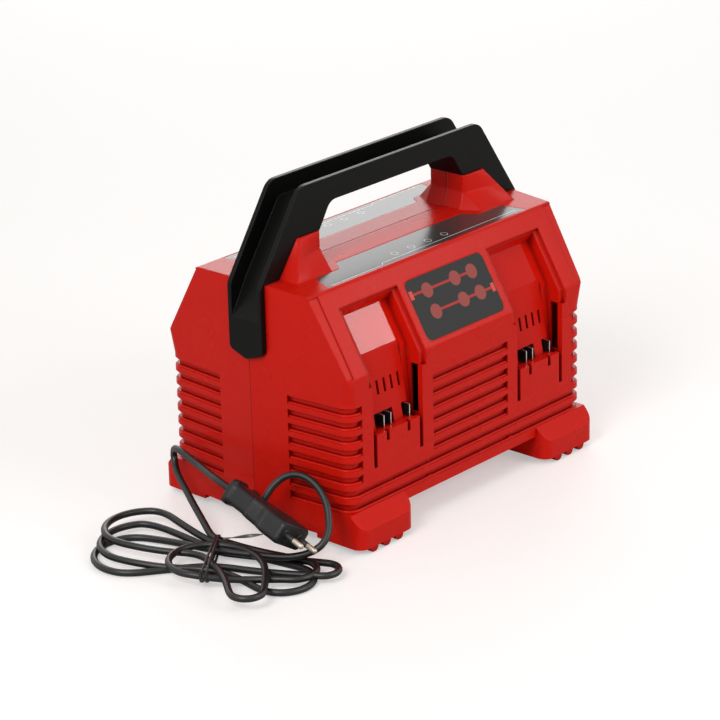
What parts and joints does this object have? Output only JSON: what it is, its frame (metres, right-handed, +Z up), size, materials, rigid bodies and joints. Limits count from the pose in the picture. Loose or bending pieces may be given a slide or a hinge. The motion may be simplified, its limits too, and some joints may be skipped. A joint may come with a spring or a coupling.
{
  "type": "power tool battery charger",
  "caption": "Mains charger for slide-on power tool batteries, with ports on both long sides, a carrying handle and a tied-up lead.",
  "frame": {"origin": "on the resting surface, under the middle of the charger without its lead", "axes": "+X along the length, away from the lead, +Y towards the rear long side, +Z up"},
  "size_m": [0.4476, 0.2307, 0.27],
  "materials": {
    "housing_plastic": "moulded red plastic with a fine texture",
    "handle_plastic": "moulded black plastic with a fine texture",
    "panel_film": "glossy dark film",
    "label_film": "satin dark film with printed marks",
    "cord_rubber": "satin black sheath",
    "tie_plastic": "satin black",
    "plug_rubber": "moulded matt black",
    "pin_metal": "nickel plated",
    "clamp_plastic": "plain",
    "terminal_plastic": "plain white",
    "circuit_board": "green solder mask",
    "ferrite": "sintered dark grey",
    "copper": "enamelled copper wire",
    "capacitor_sleeve": "printed sleeve",
    "aluminium": "extruded",
    "transistor_plastic": "moulded",
    "fuse_glass": "clear fuse in a holder",
    "light_pipe": "clear light guide",
    "screw_steel": "zinc plated",
    "holder_plastic": "moulded black",
    "contact_metal": "plated blades",
    "wire_sleeve": "bundled wires"
  },
  "bodies": {
    "root": {"board_screws": "screw_steel", "bulk_capacitors": "capacitor_sleeve", "carry_handle": "handle_plastic", "contact_blades_1": "contact_metal", "contact_blades_2": "contact_metal", "contact_blades_3": "contact_metal", "contact_blades_4": "contact_metal", "contact_holder_1": "holder_plastic", "contact_holder_2": "holder_plastic", "contact_holder_3": "holder_plastic", "contact_holder_4": "holder_plastic", "cord_clamp": "clamp_plastic", "cord_hank": "cord_rubber", "cord_tie": "tie_plastic", "exit_cord": "cord_rubber", "front_housing": "housing_plastic", "front_indicator_board": "circuit_board", "front_label": "label_film", "front_lights": "light_pipe", "front_top_panel": "panel_film", "fuse_holder": "fuse_glass", "handle_screws": "screw_steel", "heat_sink": "aluminium", "housing_screws": "screw_steel", "line_choke": "copper", "mains_terminal": "terminal_plastic", "mains_wires": "cord_rubber", "output_connectors": "terminal_plastic", "plug_body": "plug_rubber", "plug_cord": "cord_rubber", "plug_pins": "pin_metal", "port_wires_1": "wire_sleeve", "port_wires_2": "wire_sleeve", "port_wires_3": "wire_sleeve", "port_wires_4": "wire_sleeve", "power_board": "circuit_board", "power_transistors": "transistor_plastic", "rear_housing": "housing_plastic", "rear_indicator_board": "circuit_board", "rear_label": "label_film", "rear_lights": "light_pipe", "rear_top_panel": "panel_film", "strain_relief": "cord_rubber", "transformer_core": "ferrite", "transformer_winding": "copper"}
  },
  "joints": []
}
